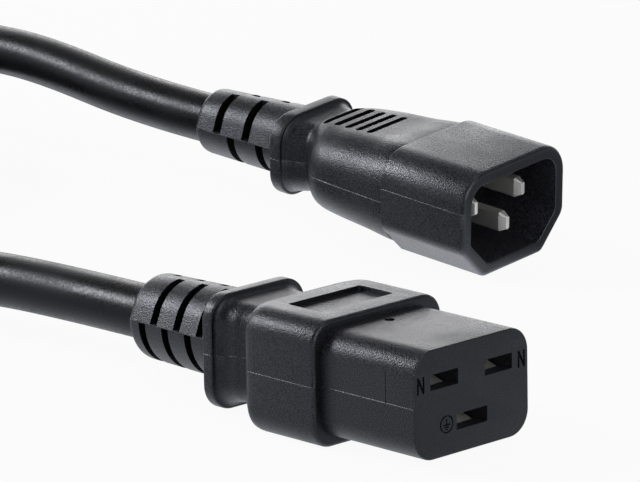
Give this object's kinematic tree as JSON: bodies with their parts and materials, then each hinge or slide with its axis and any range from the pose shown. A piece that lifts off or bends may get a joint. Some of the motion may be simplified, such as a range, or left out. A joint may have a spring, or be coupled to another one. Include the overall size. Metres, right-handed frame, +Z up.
{
  "type": "c19 power connector",
  "caption": "Moulded rectangular power connector with a slotted strain relief, on a black cord whose far end has a shrouded plug with exposed pins.",
  "frame": {"origin": "under the middle of the c19 connector, on the surface that it lies on", "axes": "+X out of the connector's front face, +Y to the right seen from the front, +Z up"},
  "size_m": [0.334, 0.1424, 0.0306],
  "materials": {
    "moulded_pvc": "fine spark-eroded mould texture, satin black",
    "shroud_plastic": "satin black, finer texture than the overmould",
    "cord_jacket": "smooth satin black",
    "carrier_plastic": "plain dark moulding",
    "contact_metal": "bare stamped sheet",
    "pin_metal": "bright nickel plating",
    "copper": "stranded, bare",
    "line_insulation": "satin brown",
    "neutral_insulation": "satin blue",
    "earth_insulation": "satin green and yellow"
  },
  "bodies": {
    "root": {"c14_earth_conductor": "copper", "c14_earth_insulation": "earth_insulation", "c14_earth_pin": "pin_metal", "c14_jacket_end": "cord_jacket", "c14_line_conductor": "copper", "c14_line_insulation": "line_insulation", "c14_line_pin": "pin_metal", "c14_neutral_conductor": "copper", "c14_neutral_insulation": "neutral_insulation", "c14_neutral_pin": "pin_metal", "c14_overmould": "moulded_pvc", "c14_shroud": "shroud_plastic", "c19_carrier_cap": "carrier_plastic", "c19_contact_carrier": "carrier_plastic", "c19_earth_conductor": "copper", "c19_earth_contact": "contact_metal", "c19_earth_insulation": "earth_insulation", "c19_jacket_end": "cord_jacket", "c19_line_conductor": "copper", "c19_line_contact": "contact_metal", "c19_line_insulation": "line_insulation", "c19_neutral_conductor": "copper", "c19_neutral_contact": "contact_metal", "c19_neutral_insulation": "neutral_insulation", "c19_overmould": "moulded_pvc", "cord_coil": "cord_jacket", "cord_run_c14": "cord_jacket", "cord_run_c19": "cord_jacket"}
  },
  "joints": []
}
